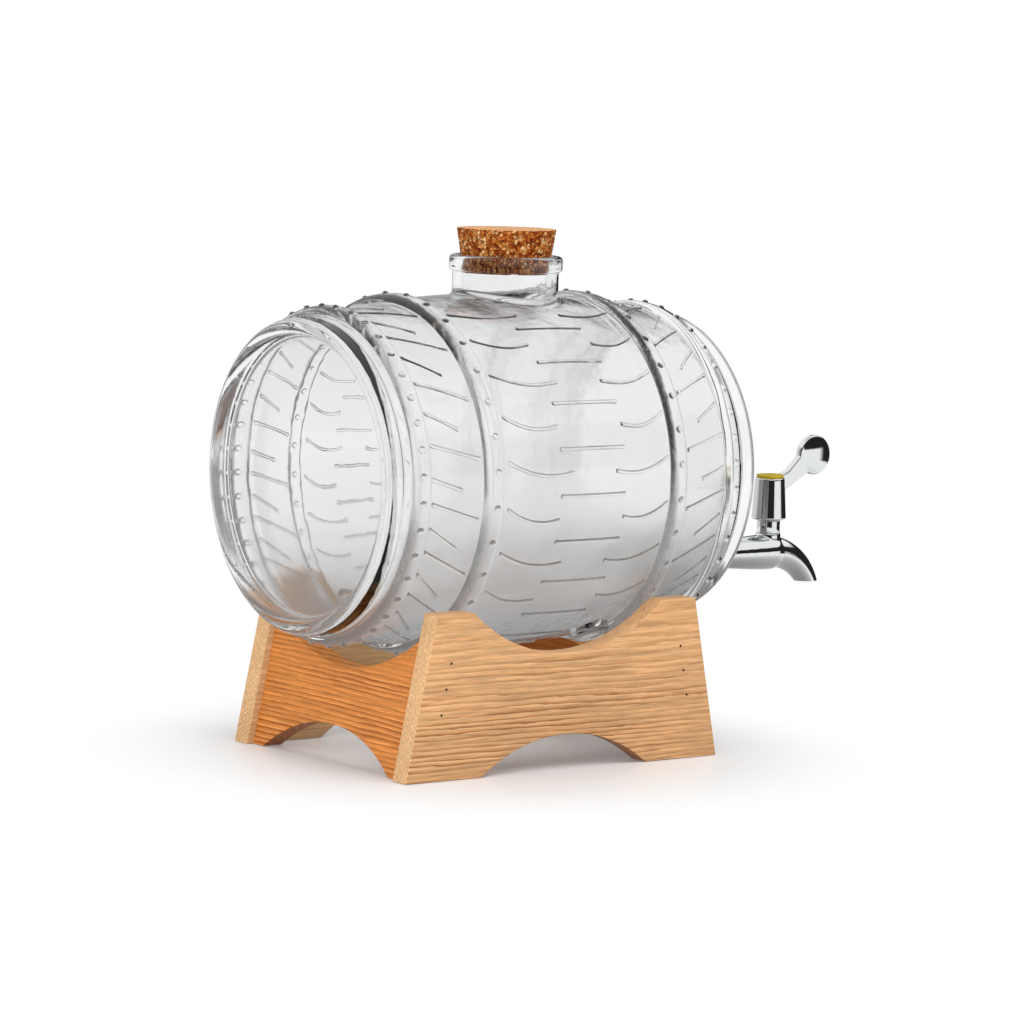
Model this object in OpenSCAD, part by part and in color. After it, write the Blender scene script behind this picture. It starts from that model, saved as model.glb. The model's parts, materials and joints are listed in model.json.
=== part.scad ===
// Glass barrel dispenser on a nailed wooden stand, with a cork and a quarter-turn tap.
// The barrel lies along X with the tap at its +X head, and Z = 0 is the table.

/* [Stand] */
// Height of the stand
stand_h = 78; // [70:1:90]
// Length of a side board along its foot
side_base_l = 186; // [176:1:200]
// Length of a side board along its top
side_top_l = 154; // [150:1:162]
// Width over both side boards
stand_w = 143; // [136:1:148]
// Thickness of every board
board_t = 11; // [8:0.5:13]
// Half width of a side board's saddle at its top
saddle_half = 56; // [50:1:60]
// Depth of a side board's saddle
saddle_drop = 22; // [16:1:28]
// Half width of the arch under a side board
side_arch_half = 49; // [35:1:60]
// Height of the arch under a side board
side_arch_h = 17; // [10:1:22]
// Distance of an end board behind the slanted edge of the side boards
end_inset = 3.5; // [1:0.5:6]
// Depth of an end board's saddle
end_saddle_drop = 22; // [16:1:28]
// Half width of the arch under an end board
end_arch_half = 52; // [35:1:54]
// Height of the arch under an end board
end_arch_h = 18; // [10:1:22]

/* [Brad nails] */
// Radius of a nail's shank
nail_r = 0.45; // [0.35:0.05:0.6]
// Radius of a nail's head
nail_head_r = 0.65; // [0.6:0.05:1]
// Thickness of a nail's head
nail_head_t = 1; // [0.6:0.1:1.6]
// Length of a nail
nail_l = 22; // [16:1:24]
// Depth of a nail's head under the board's face
nail_sink = 0.3; // [0.1:0.1:1]
// Number of nails at each corner
nail_count = 3; // [2:1:4]
// Height of the lowest nail
nail_low = 31; // [26:1:36]
// Height of the highest nail
nail_top = 55; // [48:1:56]
// Distance of a nail from the inner face of an end board
nail_back = 1.6; // [1.4:0.1:4]

/* [Glass barrel] */
// Half of the barrel's length
half_l = 110; // [106:1:120]
// Radius of the belly
mid_r = 85; // [81:0.5:91]
// Radius of the stave line at the barrel's ends
end_r = 73.5; // [71:0.5:77]
// Thickness of the glass around the belly
wall = 4; // [3:0.25:5]
// Depth to which the hoops sit in the horns of the side boards
seat_bite = 2.8; // [1:0.1:5]
// Height of a hoop above the staves
hoop_rise = 3.5; // [1.5:0.1:4.5]
// Distance from the belly to the inner edge of a quarter hoop
quarter_in = 50; // [46:1:54]
// Width of a quarter hoop
quarter_w = 10; // [8:1:14]
// Distance from the belly to the inner edge of an end hoop
end_in = 88; // [84:1:91]
// Width of an end hoop
end_w = 9; // [7:0.5:12]
// Width of the sloping edge of a hoop
hoop_edge = 1.2; // [0.6:0.1:2]
// Length of the rounded rim at each end
rim_l = 6; // [4:0.5:8]
// Radius of the round on the rim's outer corner
rim_round = 3; // [1.5:0.25:4]
// Radial width of the rim's end face
rim_face = 4; // [2:0.5:6]
// Depth of the heads inside the rims
head_recess = 6; // [3:0.5:9]
// Slope of the rim's inner wall, from face to head
rim_slope = 2; // [0.5:0.25:4]
// Thickness of the heads
head_t = 5; // [3:0.5:7]
// Round between the heads and the staves inside
inner_round = 8; // [4:0.5:10]

/* [Glass feet] */
// Distance of a foot from the middle along the barrel
foot_x = 39.5; // [32:0.5:40]
// Angle between a foot and straight down, around the barrel
foot_angle = 26; // [20:1:32]
// Radius of a foot
foot_r = 9.5; // [7:0.5:10]
// Height of a foot above the staves
foot_out = 5; // [3:0.25:7]
// Round at the end of a foot
foot_round = 2.5; // [1:0.25:3]

/* [Neck and cork] */
// Offset of the neck from the barrel's middle
neck_x = 10.5; // [0:0.5:14]
// Radius of the neck
neck_r = 25.75; // [24.5:0.25:28]
// Height of the neck above the belly
neck_rise = 18.4; // [15:0.1:24]
// Radius of the fillet at the foot of the neck
neck_flare = 3; // [2:0.5:8]
// Radial overhang of the lip
lip_over = 1.75; // [1:0.25:3]
// Height of the lip
lip_h = 7.5; // [5:0.5:9]
// Round at the lip's outer corners
lip_round = 1.6; // [0.8:0.2:2.2]
// Radius of the cork at the lip
cork_r = 22.2; // [20.5:0.1:22.6]
// Height of the cork above the lip
cork_out = 13; // [8:0.1:18]
// Depth of the cork inside the neck
cork_in = 8.5; // [6:0.1:11]
// Widening of the cork's radius for each millimetre of height
cork_taper = 0.16; // [0.08:0.01:0.18]
// Chamfer around the cork's ends
cork_edge = 0.8; // [0.4:0.1:1.5]

/* [Tap] */
// Distance of the tap below the barrel's middle line
tap_drop = 48.9; // [40:0.1:49.5]
// Distance from the front head to the tap's upright axis
tap_reach = 79; // [72:1:90]
// Radius of the threaded shank
shank_r = 8; // [7.5:0.1:8.5]
// Radius of the water passage
passage_r = 3.2; // [2.8:0.1:3.4]
// Radius of the tap's flange
flange_r = 13.5; // [12:0.25:14.5]
// Thickness of the tap's flange
flange_t = 4; // [3:0.25:6]
// Chamfer on the flange's outer edge
flange_edge = 1; // [0.5:0.1:2]
// Radius of the tap's slim neck behind the bulb
slim_r = 7; // [6.4:0.1:7.6]
// Radius of the bulb under the handle
bulb_r = 9; // [8.8:0.1:9.8]
// Length over which the slim neck swells to the bulb
swell_l = 38; // [28:1:48]
// Bend radius of the spout
spout_bend = 30; // [26:1:36]
// Angle through which the spout bends down
spout_turn = 62; // [54:1:68]
// Radius of the spout where it leaves the bulb
spout_root_r = 8.4; // [7.6:0.1:8.6]
// Radius of the spout at its mouth
mouth_r = 5.6; // [5.3:0.1:6.4]
// Radius of the passage in the spout
spout_passage_r = 3.9; // [3.4:0.1:4.1]
// Thickness of the outer washer
outer_washer_t = 2.5; // [1.5:0.25:4]
// Thickness of the inner washer
inner_washer_t = 2; // [1.5:0.25:4]
// Radius of both washers
washer_r = 12.5; // [11:0.25:13]
// Thickness of the back nut
nut_t = 8; // [5:0.5:10]
// Width of the back nut across its flats
nut_flats = 22; // [20:0.5:24]
// Length of the shank that stands out of the back nut
shank_spare = 2; // [0.5:0.5:5]

/* [Valve and handle] */
// Radius of the turning plug
plug_r = 4.2; // [4:0.05:4.4]
// Depth of the plug below the passage
plug_below = 7; // [6.4:0.1:7.2]
// Height of the plug above the passage
plug_above = 5.4; // [5:0.1:5.8]
// Radius of the port across the plug
port_r = 2.6; // [2.2:0.1:2.8]
// Radius of the stem above the plug
stem_r = 3.5; // [3.3:0.05:3.6]
// Width of the square drive on the stem
drive_w = 4.8; // [4.4:0.1:4.9]
// Length of the square drive
drive_l = 8; // [6:0.5:10]
// Thickness of the O-ring cords
ring_cord = 1.4; // [1.2:0.05:1.5]
// Radius of the gland nut
gland_r = 5.85; // [5.7:0.05:6.4]
// Height of the boss under the gland nut, from the passage
boss_h = 9.7; // [9.4:0.1:10.4]
// Step from the gland nut out to the boss
boss_step = 0.5; // [0.2:0.1:1]
// Height of the gland nut above the boss
gland_h = 6.8; // [5:0.1:8]
// Length of the gland nut's spigot in the boss
gland_spigot = 4; // [3.4:0.1:4.2]
// Height of the handle's sleeve
sleeve_h = 21.3; // [19:0.1:26]
// Radius of the sleeve at its foot
sleeve_foot_r = 8.8; // [8.2:0.1:9.6]
// Radius of the sleeve at its top
sleeve_top_r = 7.5; // [7:0.1:8]
// Distance from the tap's axis to the middle of the paddle
paddle_reach = 28.5; // [24:0.5:34]
// Height of the paddle's middle above the foot of the sleeve
paddle_h = 32; // [28:0.5:36]
// Radius of the paddle
paddle_r = 10.2; // [8.5:0.1:11]
// Thickness of the paddle at its rim
paddle_t = 4; // [3:0.25:6]
// Width of the flat rim around the paddle's domes
paddle_rim = 1.2; // [0.6:0.1:2]
// Height of the dome on each face of the paddle
dome_h = 1.2; // [0.6:0.1:2]
// Height on the sleeve where the arm begins
arm_low = 9.4; // [8:0.1:11]
// Height on the sleeve where the arm ends
arm_high = 20.4; // [17:0.1:20.8]
// Thickness of the arm
arm_t = 4; // [3:0.25:6]
// Half width of the arm where it meets the paddle
arm_half = 5.2; // [4:0.1:6.5]
// Hollow in the arm's upper edge
arm_dip = 2.4; // [0:0.1:3]
// Radius of the handle screw's head
screw_head_r = 2.8; // [2.4:0.1:3.4]
// Thickness of the handle screw's head
screw_head_t = 2; // [1.5:0.1:2.4]
// Radius of the handle screw's shank
screw_r = 1.4; // [1.2:0.05:1.5]
// Length of the handle screw's shank
screw_l = 11; // [8:0.5:12]
// Thickness of the index cap above the sleeve
cap_t = 1.6; // [1:0.1:2.5]
// Radius of the index cap
cap_r = 6.9; // [6.3:0.1:7]
// Chamfer around the index cap
cap_edge = 0.4; // [0.2:0.1:0.8]
// Length of the index cap's plug in the sleeve
cap_plug = 3; // [2:0.1:3.4]
// Radius of the index cap's plug
cap_plug_r = 5.6; // [5:0.1:6]

/* [Clearances] */
// Gap between the barrel and its seats in the stand
seat_gap = 0.3; // [0.2:0.05:0.6]
// Gap between the belly's lowest line and the saddles of the end boards
end_gap = 5.9; // [1:0.1:8]
// Gap around the nails
nail_gap = 0.02; // [0.01:0.01:0.05]
// Gap between the cork and the neck
cork_gap = 0.15; // [0.1:0.05:0.3]
// Gap between the shank and what it passes through
shank_gap = 0.2; // [0.1:0.05:0.4]
// Running gap of the plug and stem
run_gap = 0.05; // [0.02:0.01:0.08]
// Gap between the O-rings and their seats
ring_gap = 0.05; // [0.02:0.01:0.08]
// Gap between parts of the handle that stay still
fit_gap = 0.1; // [0.05:0.05:0.2]
// Gap under the turning handle
turn_gap = 0.2; // [0.1:0.05:0.4]

/* [Hidden] */

fine = 96;
small = 48;
// Length by which a cut runs past the face it opens
over = 1;
// Angle between the points of a round
arc_step = 18;

// Stand
side_y = stand_w / 2;
inner_y = side_y - board_t;
lean = (side_base_l - side_top_l) / 2 / stand_h;
lean_angle = atan(lean);
end_t = board_t / cos(lean_angle);
saddle_arc_r = arc_r(saddle_half, saddle_drop);
side_arch_r = arc_r(side_arch_half, side_arch_h);
end_saddle_r = arc_r(inner_y, end_saddle_drop);
end_arch_r = arc_r(end_arch_half, end_arch_h);

// Barrel
stave_arc_r = arc_r(half_l, mid_r - end_r);
quarter_out = quarter_in + quarter_w;
end_out = end_in + end_w;
rim_in = half_l - rim_l;
rim_r = end_r + rim_round / 2;
rim_face_r = rim_r - rim_round;
head_edge_r = rim_face_r - rim_face - rim_slope;
head_x = half_l - head_recess;
cavity_x = head_x - head_t;
seat_r = stave_r(quarter_in) + hoop_rise;
axis_z = stand_h - seat_bite + sqrt(seat_r * seat_r - inner_y * inner_y);
belly_low = axis_z - mid_r;
belly_top = axis_z + mid_r;
end_saddle_z = belly_low - end_gap;
end_corner_z = end_saddle_z + end_saddle_drop;
stave_steps = 4;
foot_end_r = stave_r(foot_x) + foot_out;
foot_l = foot_out + 2 * wall;

// Neck and cork
lip_top = belly_top + neck_rise;
lip_low = lip_top - lip_h;
lip_r = neck_r + lip_over;
flare_r = neck_r + neck_flare;
// Depth of the flare's foot under the staves beside it
flare_sink = 0.3;
flare_z = axis_z + sqrt(pow(stave_r(neck_x), 2) - flare_r * flare_r) - flare_sink;
neck_root = axis_z + sqrt(pow(mid_r - wall, 2) - flare_r * flare_r);
cork_low = lip_top - cork_in;
cork_top = lip_top + cork_out;
cork_low_r = cork_r - cork_taper * cork_in;
cork_top_r = cork_r + cork_taper * cork_out;
// The taper in the neck starts just below the cork
taper_low = cork_low - cork_edge;
taper_h = lip_top - taper_low;
bore_r = cork_low_r + cork_gap - cork_taper * cork_edge;

// Tap
tap_z = axis_z - tap_drop;
tap_x = head_x + tap_reach;
flange_x = head_x + outer_washer_t;
flange_end = flange_x + flange_t;
swell_x = tap_x - swell_l;
nut_x = cavity_x - inner_washer_t - nut_t;
shank_x = nut_x - shank_spare;
swell_steps = 8;
spout_steps = 10;
spout_sides = 28;
// Share of the bend at which the spout is cut off below its mouth
spout_end = 1.25;
// Angle by which the passage runs past the mouth
passage_over = 10;
mouth_z = tap_z - spout_bend * (1 - cos(spout_turn));
mouth_x = tap_x + spout_bend * sin(spout_turn);

// Valve and handle
plug_hole_r = plug_r + run_gap;
plug_low = tap_z - plug_below;
plug_high = tap_z + plug_above;
boss_top = tap_z + boss_h;
boss_r = gland_r + boss_step;
spigot_low = boss_top - gland_spigot;
spigot_r = (plug_hole_r + gland_r) / 2;
gland_top = boss_top + gland_h;
stem_hole_r = stem_r + run_gap;
ring_r = ring_cord / 2;
lower_ring_z = plug_low + ring_cord;
lower_ring_mid = plug_hole_r - ring_gap - ring_r;
upper_ring_z = boss_top + gland_h / 2;
upper_ring_mid = stem_hole_r - ring_gap - ring_r;
sleeve_z = gland_top + turn_gap;
sleeve_top = sleeve_z + sleeve_h;
drive_top = sleeve_z + drive_l;
screw_seat = sleeve_top - cap_plug - screw_head_t - fit_gap;
screw_low = screw_seat - screw_l;
paddle_z = sleeve_z + paddle_h;
dome_r = arc_r(paddle_r - paddle_rim, dome_h);
arm_angle = atan2(paddle_h - (arm_low + arm_high) / 2, paddle_reach);

// The origin is under the middle of the whole length
front_reach = max(tap_x + paddle_reach + paddle_r, mouth_x + mouth_r);
shift_x = (half_l - front_reach) / 2;

// Radius of an arc from its half chord and its rise
function arc_r(half, rise) = (half * half + rise * rise) / (2 * rise);

// Radius of the stave line at a distance from the belly
function stave_r(x) = mid_r - stave_arc_r + sqrt(stave_arc_r * stave_arc_r - x * x);

// Points of the stave line between two distances
function stave_line(from, to) = [for (i = [0 : stave_steps])
    let (x = from + (to - from) * i / stave_steps) [stave_r(x), x]];

// Points of a raised hoop between two distances
function hoop_line(from, to) = [
    [stave_r(from + hoop_edge) + hoop_rise, from + hoop_edge],
    [stave_r(to - hoop_edge) + hoop_rise, to - hoop_edge]];

// Outline of one half of the barrel from belly to head
function half_outline() = concat(
    stave_line(0, quarter_in),
    hoop_line(quarter_in, quarter_out),
    stave_line(quarter_out, end_in),
    hoop_line(end_in, end_out),
    [[stave_r(end_out), end_out], [stave_r(rim_in), rim_in]],
    [for (a = [0 : arc_step : 90]) [rim_face_r + rim_round * cos(a), half_l - rim_round + rim_round * sin(a)]],
    [[rim_face_r - rim_face, half_l], [head_edge_r, head_x], [0, head_x]]);

// The same outline over both halves, without the recessed heads, grown by a gap
function seat_outline(gap) = concat(
    [for (p = half_outline()) if (p[0] > rim_face_r) [p[0] + gap, p[1]]],
    [[0, half_l]]);

// Outline of one half of the room inside the glass, with its middle pushed past the head by a length
function cavity_outline(past) = concat(
    [for (p = stave_line(0, cavity_x - inner_round)) [p[0] - wall, p[1]]],
    [for (a = [arc_step : arc_step : 90])
        [stave_r(cavity_x) - wall - inner_round + inner_round * cos(a),
         cavity_x - inner_round + inner_round * sin(a)]],
    [[0, cavity_x + past]]);

// Middle line of an end board at a height
function end_mid(z) = side_base_l / 2 - lean * z - end_inset - end_t / 2;

// Places of the nails at one corner, along the side board and above the table
nail_places = [for (i = [0 : nail_count - 1])
    let (z = nail_low + (nail_top - nail_low) * i / (nail_count - 1))
        [end_mid(z) - end_t / 2 + nail_back, z]];

// Ring of points around the spout at a share of its bend, 1 at the mouth
function spout_ring(t) = let (a = spout_turn * t, r = spout_root_r + (mouth_r - spout_root_r) * t)
    [for (k = [0 : spout_sides - 1])
        let (turn = 360 * k / spout_sides, out = spout_bend + r * cos(turn))
            [out * sin(a), r * sin(turn), out * cos(a) - spout_bend]];

// Half outlines turned about the barrel's middle line
module barrel_turned(points) {
    translate([0, 0, axis_z])
        rotate([0, 90, 0])
            for (side = [0, 1])
                mirror([0, 0, side])
                    rotate_extrude($fn = fine)
                        polygon(concat([[0, 0]], points));
}

// A round bar along X from one place to another
module bar_x(from, to, r) {
    translate([from, 0, tap_z])
        rotate([0, 90, 0])
            cylinder(h = to - from, r = r, $fn = small);
}

// An upright round bar on the tap's axis
module bar_z(from, to, r, r_top) {
    translate([tap_x, 0, from])
        cylinder(h = to - from, r1 = r, r2 = r_top, $fn = small);
}

// A ring on the tap's axis
module ring_z(z, mid, cord_r) {
    translate([tap_x, 0, z])
        rotate_extrude($fn = small)
            translate([mid, 0])
                circle(r = cord_r, $fn = 24);
}

// The nails' places: shank and head, grown by a gap
module nail(gap) {
    rotate([90, 0, 0]) {
        cylinder(h = nail_l, r = nail_r + gap, $fn = 16);
        cylinder(h = nail_head_t, r = nail_head_r + gap, $fn = 16);
    }
}

module nails(gap) {
    for (sx = [-1, 1], sy = [0, 1], p = nail_places)
        mirror([0, sy, 0])
            translate([sx * p[0], side_y - nail_sink, p[1]])
                nail(gap);
}

// The holes that the nails' heads leave above them
module nail_mouths() {
    for (sx = [-1, 1], p = nail_places)
        translate([sx * p[0], side_y + over, p[1]])
            rotate([90, 0, 0])
                cylinder(h = nail_sink + over + nail_head_t / 2, r = nail_head_r + nail_gap, $fn = 16);
}

module side_shape() {
    difference() {
        polygon([[-side_base_l / 2, 0], [side_base_l / 2, 0],
                 [side_top_l / 2, stand_h], [-side_top_l / 2, stand_h]]);
        translate([0, stand_h - saddle_drop + saddle_arc_r])
            circle(r = saddle_arc_r, $fn = fine);
        translate([0, side_arch_h - side_arch_r])
            circle(r = side_arch_r, $fn = fine);
    }
}

module side_board() {
    difference() {
        translate([0, side_y, 0])
            rotate([90, 0, 0])
                linear_extrude(board_t)
                    side_shape();
        barrel_turned(seat_outline(seat_gap));
        nails(nail_gap);
        nail_mouths();
    }
}

module end_board() {
    difference() {
        translate([0, inner_y, 0])
            rotate([90, 0, 0])
                linear_extrude(2 * inner_y)
                    polygon([[end_mid(0) - end_t / 2, 0], [end_mid(0) + end_t / 2, 0],
                             [end_mid(end_corner_z) + end_t / 2, end_corner_z],
                             [end_mid(end_corner_z) - end_t / 2, end_corner_z]]);
        translate([0, 0, end_saddle_z + end_saddle_r])
            rotate([0, 90, 0])
                cylinder(h = side_base_l, r = end_saddle_r, $fn = fine);
        translate([0, 0, end_arch_h - end_arch_r])
            rotate([0, 90, 0])
                cylinder(h = side_base_l, r = end_arch_r, $fn = fine);
        nails(nail_gap);
    }
}

module side_board_left() {
    color("burlywood")
        translate([shift_x, 0, 0])
            side_board();
}

module side_board_right() {
    color("burlywood")
        translate([shift_x, 0, 0])
            mirror([0, 1, 0])
                side_board();
}

module end_board_rear() {
    color("peru")
        translate([shift_x, 0, 0])
            mirror([1, 0, 0])
                end_board();
}

module end_board_front() {
    color("peru")
        translate([shift_x, 0, 0])
            end_board();
}

module brad_nails() {
    color("dimgray")
        translate([shift_x, 0, 0])
            nails(0);
}

// A foot straight below the barrel's middle line, from its rounded end into the hollow
module foot() {
    translate([0, 0, -foot_end_r])
        rotate_extrude($fn = small)
            polygon(concat(
                [[0, 0]],
                [for (a = [-90 : arc_step : 0])
                    [foot_r - foot_round + foot_round * cos(a), foot_round + foot_round * sin(a)]],
                [[foot_r, foot_l], [0, foot_l]]));
}

module neck() {
    rotate_extrude($fn = fine)
        polygon(concat(
            [[0, neck_root], [flare_r, neck_root]],
            [for (a = [90 : -arc_step : 0])
                [flare_r - neck_flare * cos(a), flare_z + neck_flare - neck_flare * sin(a)]],
            [[neck_r, lip_low]],
            [for (a = [-90 : arc_step : 0])
                [lip_r - lip_round + lip_round * cos(a), lip_low + lip_round + lip_round * sin(a)]],
            [for (a = [0 : arc_step : 90])
                [lip_r - lip_round + lip_round * cos(a), lip_top - lip_round + lip_round * sin(a)]],
            [[0, lip_top]]));
}

// Bore of the neck, with the cork's taper at its mouth
module neck_bore() {
    translate([0, 0, axis_z])
        cylinder(h = lip_top - axis_z + over, r = bore_r, $fn = fine);
    translate([0, 0, taper_low])
        cylinder(h = taper_h + over, r1 = bore_r, r2 = bore_r + cork_taper * (taper_h + over), $fn = fine);
}

// Room of a head with its rim, beyond the hollow of the barrel
module head_room() {
    translate([cavity_x, 0, axis_z])
        rotate([0, 90, 0])
            cylinder(h = half_l - cavity_x + over, r = mid_r + hoop_rise, $fn = fine);
}

// Room of the neck with the glass around its foot
module neck_room() {
    translate([neck_x, 0, axis_z])
        cylinder(h = lip_top - axis_z, r = flare_r, $fn = fine);
}

// The glass is one pressed piece. Its staves, heads and neck are nodes that meet face to face.
module glass_barrel() {
    color("lightcyan", 0.5)
        translate([shift_x, 0, 0])
            difference() {
                union() {
                    barrel_turned(half_outline());
                    for (sx = [-1, 1], sy = [-1, 1])
                        translate([sx * foot_x, 0, axis_z])
                            rotate([sy * foot_angle, 0, 0])
                                foot();
                }
                barrel_turned(cavity_outline(over));
                neck_room();
                for (side = [0, 1])
                    mirror([side, 0, 0])
                        head_room();
            }
}

module glass_head() {
    intersection() {
        barrel_turned(half_outline());
        head_room();
    }
}

module glass_rear_head() {
    color("lightcyan", 0.5)
        translate([shift_x, 0, 0])
            mirror([1, 0, 0])
                glass_head();
}

module glass_front_head() {
    color("lightcyan", 0.5)
        translate([shift_x, 0, 0])
            difference() {
                glass_head();
                bar_x(cavity_x - over, half_l, shank_r + shank_gap);
            }
}

module glass_neck() {
    color("lightcyan", 0.5)
        translate([shift_x, 0, 0])
            difference() {
                union() {
                    translate([neck_x, 0, 0])
                        neck();
                    intersection() {
                        barrel_turned(half_outline());
                        neck_room();
                    }
                }
                barrel_turned(cavity_outline(0));
                translate([neck_x, 0, 0])
                    neck_bore();
            }
}

module cork_stopper() {
    color("sienna")
        translate([shift_x + neck_x, 0, 0])
            rotate_extrude($fn = fine)
                polygon([[0, cork_low], [cork_low_r - cork_edge, cork_low],
                         [cork_low_r + cork_taper * cork_edge, cork_low + cork_edge],
                         [cork_top_r - cork_taper * cork_edge, cork_top - cork_edge],
                         [cork_top_r - cork_edge, cork_top], [0, cork_top]]);
}

// Turned part of the tap from its flange to its bulb
module tap_turned() {
    translate([0, 0, tap_z])
        rotate([0, 90, 0])
            rotate_extrude($fn = small)
                polygon(concat(
                    [[0, flange_x], [flange_r, flange_x], [flange_r, flange_end - flange_edge],
                     [flange_r - flange_edge, flange_end], [slim_r, flange_end]],
                    [for (i = [0 : swell_steps])
                        let (t = i / swell_steps)
                            [slim_r + (bulb_r - slim_r) * (1 - cos(180 * t)) / 2, swell_x + swell_l * t]],
                    [for (a = [arc_step : arc_step : 90]) [bulb_r * cos(a), tap_x + bulb_r * sin(a)]]));
}

// Spout as a bent bar that tapers to its mouth, rooted inside the bulb
module spout() {
    points = [for (i = [0 : spout_steps]) each spout_ring(spout_end * i / spout_steps)];
    last = spout_steps * spout_sides;
    sides = [for (i = [0 : spout_steps - 1], k = [0 : spout_sides - 1])
        let (a = i * spout_sides + k, b = i * spout_sides + (k + 1) % spout_sides)
            each [[a, b, b + spout_sides], [a, b + spout_sides, a + spout_sides]]];
    root = [for (k = [spout_sides - 1 : -1 : 0]) k];
    tip = [for (k = [0 : spout_sides - 1]) last + k];
    translate([tap_x, 0, tap_z])
        polyhedron(points, concat(sides, [root, tip]));
}

module spout_passage() {
    translate([tap_x, 0, tap_z - spout_bend])
        rotate([90, 0, 0])
            rotate([0, 0, 90 - spout_turn - passage_over])
                rotate_extrude(angle = spout_turn + passage_over, $fn = fine)
                    translate([spout_bend, 0])
                        circle(r = spout_passage_r, $fn = small);
}

module tap_body() {
    color("silver")
        translate([shift_x, 0, 0])
            difference() {
                union() {
                    bar_x(shank_x, flange_x, shank_r);
                    tap_turned();
                    spout();
                    bar_z(tap_z, boss_top, boss_r, boss_r);
                }
                bar_x(shank_x - over, tap_x, passage_r);
                spout_passage();
                bar_z(plug_low - run_gap, boss_top, plug_hole_r, plug_hole_r);
                bar_z(spigot_low, boss_top + over, spigot_r + fit_gap / 2, spigot_r + fit_gap / 2);
                translate([mouth_x, 0, mouth_z - 2 * mouth_r])
                    cube([8 * mouth_r, 4 * mouth_r, 4 * mouth_r], center = true);
            }
}

module washer(x, t) {
    difference() {
        bar_x(x, x + t, washer_r);
        bar_x(x - over, x + t + over, shank_r + shank_gap);
    }
}

module outer_washer() {
    color("whitesmoke")
        translate([shift_x, 0, 0])
            washer(head_x, outer_washer_t);
}

module inner_washer() {
    color("whitesmoke")
        translate([shift_x, 0, 0])
            washer(cavity_x - inner_washer_t, inner_washer_t);
}

module back_nut() {
    color("ivory")
        translate([shift_x, 0, 0])
            difference() {
                translate([nut_x, 0, tap_z])
                    rotate([0, 90, 0])
                        cylinder(h = nut_t, r = nut_flats / 2 / cos(30), $fn = 6);
                bar_x(nut_x - over, nut_x + nut_t + over, shank_r + shank_gap / 2);
            }
}

module gland_nut() {
    color("silver")
        translate([shift_x, 0, 0])
            difference() {
                union() {
                    bar_z(spigot_low, boss_top, spigot_r, spigot_r);
                    bar_z(boss_top, gland_top, gland_r, gland_r);
                }
                bar_z(spigot_low - over, gland_top + over, stem_hole_r, stem_hole_r);
            }
}

// Groove for an O-ring around a bar of the plug
module ring_groove(z, mid, bar_r) {
    difference() {
        bar_z(z - ring_r - ring_gap, z + ring_r + ring_gap, bar_r + over, bar_r + over);
        bar_z(z - ring_cord, z + ring_cord, mid - ring_r - ring_gap, mid - ring_r - ring_gap);
    }
}

module valve_plug() {
    color("goldenrod")
        translate([shift_x, 0, 0])
            difference() {
                union() {
                    bar_z(plug_low, plug_high, plug_r, plug_r);
                    bar_z(tap_z, gland_top, stem_r, stem_r);
                    intersection() {
                        bar_z(tap_z, drive_top, stem_r, stem_r);
                        translate([tap_x, 0, drive_top])
                            cube([drive_w, drive_w, 2 * (drive_top - upper_ring_z)], center = true);
                    }
                }
                translate([tap_x, 0, tap_z])
                    rotate([90, 0, 0])
                        cylinder(h = 4 * plug_r, r = port_r, center = true, $fn = small);
                ring_groove(lower_ring_z, lower_ring_mid, plug_r);
                ring_groove(upper_ring_z, upper_ring_mid, stem_r);
                bar_z(screw_low - fit_gap, drive_top + over, screw_r + fit_gap / 2, screw_r + fit_gap / 2);
            }
}

module lower_o_ring() {
    color("dimgray")
        translate([shift_x, 0, 0])
            ring_z(lower_ring_z, lower_ring_mid, ring_r);
}

module upper_o_ring() {
    color("dimgray")
        translate([shift_x, 0, 0])
            ring_z(upper_ring_z, upper_ring_mid, ring_r);
}

// Outline of the arm beside the tap's axis, from the sleeve to the paddle
module arm_shape() {
    tip = [paddle_reach, paddle_h];
    across = arm_half * [sin(arm_angle), -cos(arm_angle)];
    upper_tip = tip - across;
    dip = ([0, arm_high] + upper_tip) / 2 - arm_dip * [-sin(arm_angle), cos(arm_angle)];
    polygon([[0, arm_low], tip + across, upper_tip, dip, [0, arm_high]]);
}

module paddle() {
    translate([tap_x + paddle_reach, 0, paddle_z]) {
        rotate([90, 0, 0])
            cylinder(h = paddle_t, r = paddle_r, center = true, $fn = small);
        intersection() {
            rotate([90, 0, 0])
                cylinder(h = paddle_t + 2 * dome_h + over, r = paddle_r - paddle_rim, center = true, $fn = small);
            translate([0, paddle_t / 2 + dome_h - dome_r, 0])
                sphere(r = dome_r, $fn = fine);
            translate([0, dome_r - dome_h - paddle_t / 2, 0])
                sphere(r = dome_r, $fn = fine);
        }
    }
}

// Arm cut short of the paddle's domed faces
module arm() {
    difference() {
        translate([tap_x, arm_t / 2, sleeve_z])
            rotate([90, 0, 0])
                linear_extrude(arm_t)
                    arm_shape();
        translate([tap_x + paddle_reach, 0, paddle_z])
            rotate([90, 0, 0])
                cylinder(h = 2 * arm_t, r = paddle_r - over, center = true, $fn = small);
    }
}

module lever_handle() {
    color("silver")
        translate([shift_x, 0, 0])
            difference() {
                union() {
                    bar_z(sleeve_z, sleeve_top, sleeve_foot_r, sleeve_top_r);
                    arm();
                    paddle();
                }
                translate([tap_x, 0, sleeve_z + (drive_l + fit_gap - over) / 2])
                    cube([drive_w + fit_gap, drive_w + fit_gap, drive_l + fit_gap + over], center = true);
                bar_z(sleeve_z, sleeve_top, screw_r + fit_gap, screw_r + fit_gap);
                bar_z(screw_seat, sleeve_top + over, cap_plug_r + fit_gap, cap_plug_r + fit_gap);
                bar_z(sleeve_top, sleeve_top + paddle_h, cap_r + fit_gap, cap_r + fit_gap);
            }
}

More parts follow.
